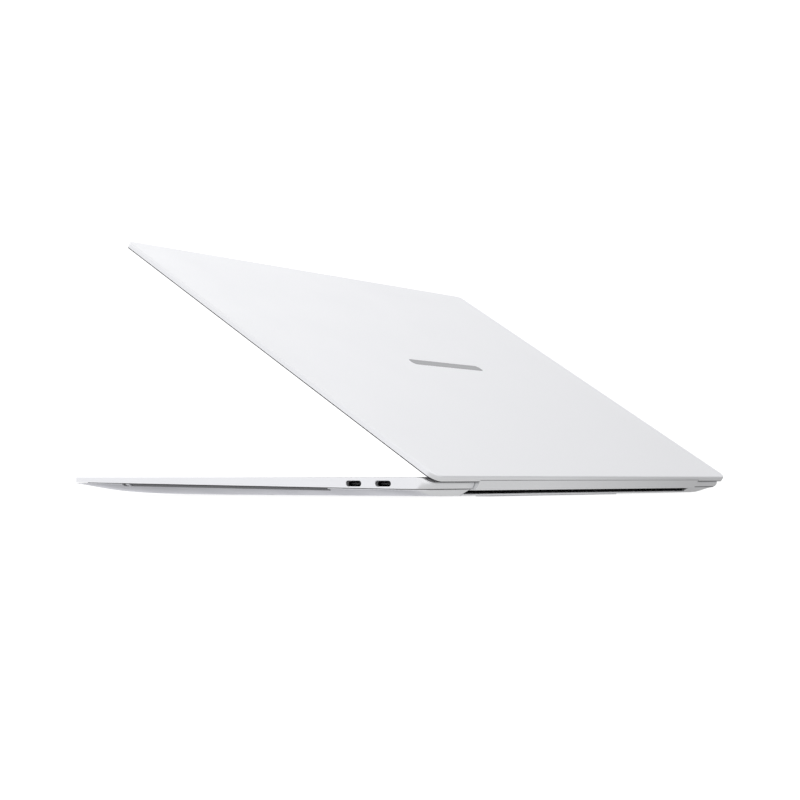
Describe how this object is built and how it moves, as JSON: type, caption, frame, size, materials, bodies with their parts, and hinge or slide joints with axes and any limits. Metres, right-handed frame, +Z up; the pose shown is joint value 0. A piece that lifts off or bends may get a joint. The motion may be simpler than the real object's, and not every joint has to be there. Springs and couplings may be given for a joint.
{
  "type": "laptop computer",
  "caption": "Thin folding laptop with a satin metal shell, friction-hinged lid, keyboard, touchpad, side ports and a rear vent behind a hinge strip.",
  "frame": {"origin": "on the table, under the middle of the closed computer's footprint", "axes": "+X to the user's right along the hinge, +Y from the user towards the hinge, +Z up"},
  "size_m": [0.31, 0.2243, 0.1284],
  "materials": {
    "satin_metal": "satin, fine blasted and anodised, silver white",
    "keycap_plastic": "matte, very light grey",
    "touchpad_surface": "etched matte, opaque light grey",
    "frame_plastic": "matte mid grey",
    "dark_plastic": "matte black",
    "screen_glass": "polished, opaque black",
    "gasket_rubber": "matte black",
    "pale_rubber": "matte pale grey",
    "steel": "plain sheet steel",
    "copper": "bare copper",
    "circuit_board": "solder mask, dark green",
    "battery_foil": "dark laminated foil pouch"
  },
  "bodies": {
    "base": {"top_case": "satin_metal", "bottom_cover": "satin_metal", "foot_front": "pale_rubber", "foot_rear": "pale_rubber", "vent_grille": "dark_plastic", "keyboard_frame": "frame_plastic", "keyboard_membrane": "dark_plastic", "keyboard_backplate": "steel", "mainboard": "circuit_board", "processor": "dark_plastic", "storage_module": "circuit_board", "wireless_module": "steel", "heat_pipe": "copper", "fin_stack_left": "copper", "fin_stack_right": "copper", "fan_housing_left": "dark_plastic", "fan_housing_right": "dark_plastic", "battery_left": "battery_foil", "battery_centre": "battery_foil", "battery_right": "battery_foil", "speaker_left": "dark_plastic", "speaker_right": "dark_plastic", "port_right_front": "steel", "port_right_rear": "steel", "port_left": "steel", "port_board_left": "circuit_board", "port_board_right": "circuit_board", "hinge_bracket_left": "steel", "hinge_bracket_right": "steel"},
    "lid": {"lid_cover": "satin_metal", "display_panel": "dark_plastic", "display_glass": "screen_glass", "display_gasket": "gasket_rubber", "hinge_cover": "satin_metal", "webcam_module": "dark_plastic", "hinge_arm_left": "steel", "hinge_arm_right": "steel"},
    "fan_rotor_left": {"fan_rotor_left": "dark_plastic"},
    "fan_rotor_right": {"fan_rotor_right": "dark_plastic"},
    "touchpad": {"touchpad": "touchpad_surface"},
    "power_button": {"power_button": "keycap_plastic"},
    "key_escape": {"key_escape": "keycap_plastic"},
    "keys_function_row": {"keys_function_row": "keycap_plastic"},
    "keys_number_row": {"keys_number_row": "keycap_plastic"},
    "key_backspace": {"key_backspace": "keycap_plastic"},
    "key_tab": {"key_tab": "keycap_plastic"},
    "keys_upper_letter_row": {"keys_upper_letter_row": "keycap_plastic"},
    "key_caps_lock": {"key_caps_lock": "keycap_plastic"},
    "keys_home_letter_row": {"keys_home_letter_row": "keycap_plastic"},
    "key_enter": {"key_enter": "keycap_plastic"},
    "key_shift_left": {"key_shift_left": "keycap_plastic"},
    "keys_lower_letter_row": {"keys_lower_letter_row": "keycap_plastic"},
    "key_shift_right": {"key_shift_right": "keycap_plastic"},
    "keys_modifiers_left": {"keys_modifiers_left": "keycap_plastic"},
    "key_space": {"key_space": "keycap_plastic"},
    "keys_modifiers_right": {"keys_modifiers_right": "keycap_plastic"},
    "key_arrow_left": {"key_arrow_left": "keycap_plastic"},
    "key_arrow_down": {"key_arrow_down": "keycap_plastic"},
    "key_arrow_right": {"key_arrow_right": "keycap_plastic"},
    "key_arrow_up": {"key_arrow_up": "keycap_plastic"}
  },
  "joints": [
    {"name": "lid_hinge", "type": "hinge", "parent": "base", "child": "lid", "pos_m": [0, 0.1066, 0.0067], "axis": [-1, 0, 0], "range_deg": [-32.45, 97.55]},
    {"name": "fan_spin_left", "type": "hinge", "parent": "base", "child": "fan_rotor_left", "pos_m": [-0.092, 0.069, 0.0029], "axis": [0, 0, 1], "continuous": true},
    {"name": "fan_spin_right", "type": "hinge", "parent": "base", "child": "fan_rotor_right", "pos_m": [0.092, 0.069, 0.0029], "axis": [0, 0, 1], "continuous": true},
    {"name": "touchpad_press", "type": "hinge", "parent": "base", "child": "touchpad", "pos_m": [0, -0.02, 0.0086], "axis": [1, 0, 0], "range_deg": [0, 0.25], "stiffness_Nm_per_rad": 20, "springref_deg": -0.17},
    {"name": "power_button_press", "type": "slide", "parent": "base", "child": "power_button", "axis": [0, 0, -1], "range_m": [0, 0.0004], "stiffness_N_per_m": 1500, "springref_m": -0.0003},
    {"name": "key_escape_press", "type": "slide", "parent": "base", "child": "key_escape", "axis": [0, 0, -1], "range_m": [0, 0.001], "stiffness_N_per_m": 400, "springref_m": -0.0005},
    {"name": "keys_function_row_press", "type": "slide", "parent": "base", "child": "keys_function_row", "axis": [0, 0, -1], "range_m": [0, 0.001], "stiffness_N_per_m": 400, "springref_m": -0.0005},
    {"name": "keys_number_row_press", "type": "slide", "parent": "base", "child": "keys_number_row", "axis": [0, 0, -1], "range_m": [0, 0.001], "stiffness_N_per_m": 400, "springref_m": -0.0005},
    {"name": "key_backspace_press", "type": "slide", "parent": "base", "child": "key_backspace", "axis": [0, 0, -1], "range_m": [0, 0.001], "stiffness_N_per_m": 400, "springref_m": -0.0005},
    {"name": "key_tab_press", "type": "slide", "parent": "base", "child": "key_tab", "axis": [0, 0, -1], "range_m": [0, 0.001], "stiffness_N_per_m": 400, "springref_m": -0.0005},
    {"name": "keys_upper_letter_row_press", "type": "slide", "parent": "base", "child": "keys_upper_letter_row", "axis": [0, 0, -1], "range_m": [0, 0.001], "stiffness_N_per_m": 400, "springref_m": -0.0005},
    {"name": "key_caps_lock_press", "type": "slide", "parent": "base", "child": "key_caps_lock", "axis": [0, 0, -1], "range_m": [0, 0.001], "stiffness_N_per_m": 400, "springref_m": -0.0005},
    {"name": "keys_home_letter_row_press", "type": "slide", "parent": "base", "child": "keys_home_letter_row", "axis": [0, 0, -1], "range_m": [0, 0.001], "stiffness_N_per_m": 400, "springref_m": -0.0005},
    {"name": "key_enter_press", "type": "slide", "parent": "base", "child": "key_enter", "axis": [0, 0, -1], "range_m": [0, 0.001], "stiffness_N_per_m": 400, "springref_m": -0.0005},
    {"name": "key_shift_left_press", "type": "slide", "parent": "base", "child": "key_shift_left", "axis": [0, 0, -1], "range_m": [0, 0.001], "stiffness_N_per_m": 400, "springref_m": -0.0005},
    {"name": "keys_lower_letter_row_press", "type": "slide", "parent": "base", "child": "keys_lower_letter_row", "axis": [0, 0, -1], "range_m": [0, 0.001], "stiffness_N_per_m": 400, "springref_m": -0.0005},
    {"name": "key_shift_right_press", "type": "slide", "parent": "base", "child": "key_shift_right", "axis": [0, 0, -1], "range_m": [0, 0.001], "stiffness_N_per_m": 400, "springref_m": -0.0005},
    {"name": "keys_modifiers_left_press", "type": "slide", "parent": "base", "child": "keys_modifiers_left", "axis": [0, 0, -1], "range_m": [0, 0.001], "stiffness_N_per_m": 400, "springref_m": -0.0005},
    {"name": "key_space_press", "type": "slide", "parent": "base", "child": "key_space", "axis": [0, 0, -1], "range_m": [0, 0.001], "stiffness_N_per_m": 400, "springref_m": -0.0005},
    {"name": "keys_modifiers_right_press", "type": "slide", "parent": "base", "child": "keys_modifiers_right", "axis": [0, 0, -1], "range_m": [0, 0.001], "stiffness_N_per_m": 400, "springref_m": -0.0005},
    {"name": "key_arrow_left_press", "type": "slide", "parent": "base", "child": "key_arrow_left", "axis": [0, 0, -1], "range_m": [0, 0.001], "stiffness_N_per_m": 400, "springref_m": -0.0005},
    {"name": "key_arrow_down_press", "type": "slide", "parent": "base", "child": "key_arrow_down", "axis": [0, 0, -1], "range_m": [0, 0.001], "stiffness_N_per_m": 400, "springref_m": -0.0005},
    {"name": "key_arrow_right_press", "type": "slide", "parent": "base", "child": "key_arrow_right", "axis": [0, 0, -1], "range_m": [0, 0.001], "stiffness_N_per_m": 400, "springref_m": -0.0005},
    {"name": "key_arrow_up_press", "type": "slide", "parent": "base", "child": "key_arrow_up", "axis": [0, 0, -1], "range_m": [0, 0.001], "stiffness_N_per_m": 400, "springref_m": -0.0005}
  ]
}
